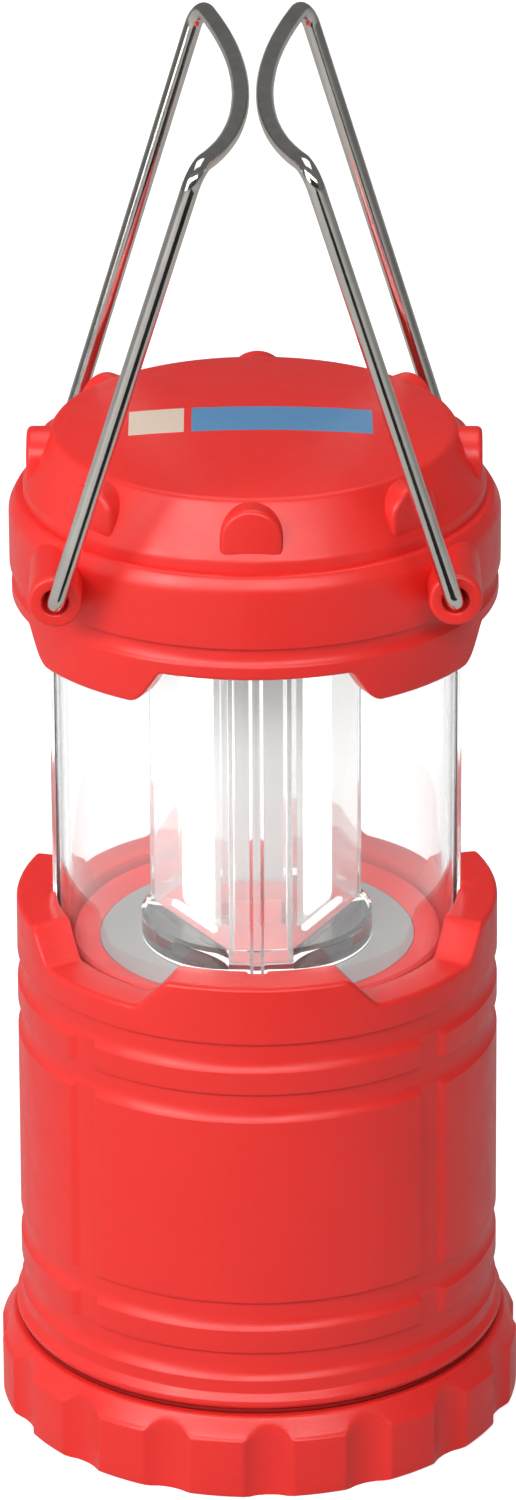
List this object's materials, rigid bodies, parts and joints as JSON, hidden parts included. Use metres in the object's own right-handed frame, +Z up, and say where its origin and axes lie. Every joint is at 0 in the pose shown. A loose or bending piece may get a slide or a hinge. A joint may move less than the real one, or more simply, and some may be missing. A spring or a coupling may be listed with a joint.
{
  "type": "pop-up camping lantern",
  "caption": "Hand-sized camping lantern: grooved battery body with a screw-off base, a clear tube with light strips that pulls up on its domed head, and folding wire bails.",
  "frame": {"origin": "centre of the base cap's flat underside, the face it stands on", "axes": "+Z up along the lantern's axis, -Y is the front, +X is the viewer's right when facing the front"},
  "size_m": [0.057, 0.057, 0.1513],
  "materials": {
    "red_abs": "satin moulded ABS, saturated red",
    "clear_plastic": "clear polished plastic",
    "nickel_wire": "nickel-plated steel wire",
    "light_strip": "white light-emitting strip",
    "board_aluminium": "white-coated aluminium board",
    "reflector_grey": "metallised grey disc",
    "contact_metal": "nickel-plated brass strip",
    "spring_steel": "plain steel",
    "seal_rubber": "dark red soft seal",
    "cell_jacket": null,
    "white_plastic": "white moulded plastic",
    "circuit_board": "fibreglass circuit board",
    "dark_parts": "black components"
  },
  "bodies": {
    "body": {"body_shell": "red_abs", "battery_cage": "red_abs", "guide_post": "red_abs", "contact_rails": "contact_metal", "battery_deck": "red_abs", "reflector_disc": "reflector_grey", "light_collar": "clear_plastic", "top_contact_plate": "contact_metal", "cell_springs": "spring_steel", "body_screws": "spring_steel", "aaa_cell_1": "cell_jacket", "aaa_cell_2": "cell_jacket", "aaa_cell_3": "cell_jacket"},
    "head": {"head_cap": "red_abs", "head_band": "red_abs", "lens": "clear_plastic", "light_column": "clear_plastic", "cob_board_1": "board_aluminium", "cob_board_2": "board_aluminium", "cob_board_3": "board_aluminium", "cob_strip_1": "light_strip", "cob_strip_2": "light_strip", "cob_strip_3": "light_strip", "brush_carrier": "red_abs", "brush_springs": "spring_steel", "top_reflector": "white_plastic", "driver_board": "circuit_board", "driver_parts": "dark_parts", "head_screws": "spring_steel"},
    "left_bail": {"bail_left": "nickel_wire"},
    "right_bail": {"bail_right": "nickel_wire"},
    "seal_ring": {"base_gasket": "seal_rubber"},
    "cap": {"base_cap": "red_abs", "contact_disc": "contact_metal"}
  },
  "joints": [
    {"name": "head_slide", "type": "slide", "parent": "body", "child": "head", "axis": [0, 0, 1], "range_m": [-0.033, 0]},
    {"name": "left_bail_hinge", "type": "hinge", "parent": "head", "child": "left_bail", "pos_m": [-0.0206, 0, 0.1024], "axis": [0, -1, 0], "range_deg": [0, 194]},
    {"name": "right_bail_hinge", "type": "hinge", "parent": "head", "child": "right_bail", "pos_m": [0.0206, 0, 0.1024], "axis": [0, 1, 0], "range_deg": [0, 194]},
    {"name": "cap_lift", "type": "slide", "parent": "body", "child": "seal_ring", "axis": [0, 0, 1], "range_m": [-0.0061, 0]},
    {"name": "cap_twist", "type": "hinge", "parent": "seal_ring", "child": "cap", "pos_m": [0, 0, 0], "axis": [0, 0, 1], "range_deg": [-720, 0]}
  ],
  "couplings": [
    {"joint": "cap_lift", "follows": "cap_twist", "m_per_rad": 0.00047746}
  ]
}
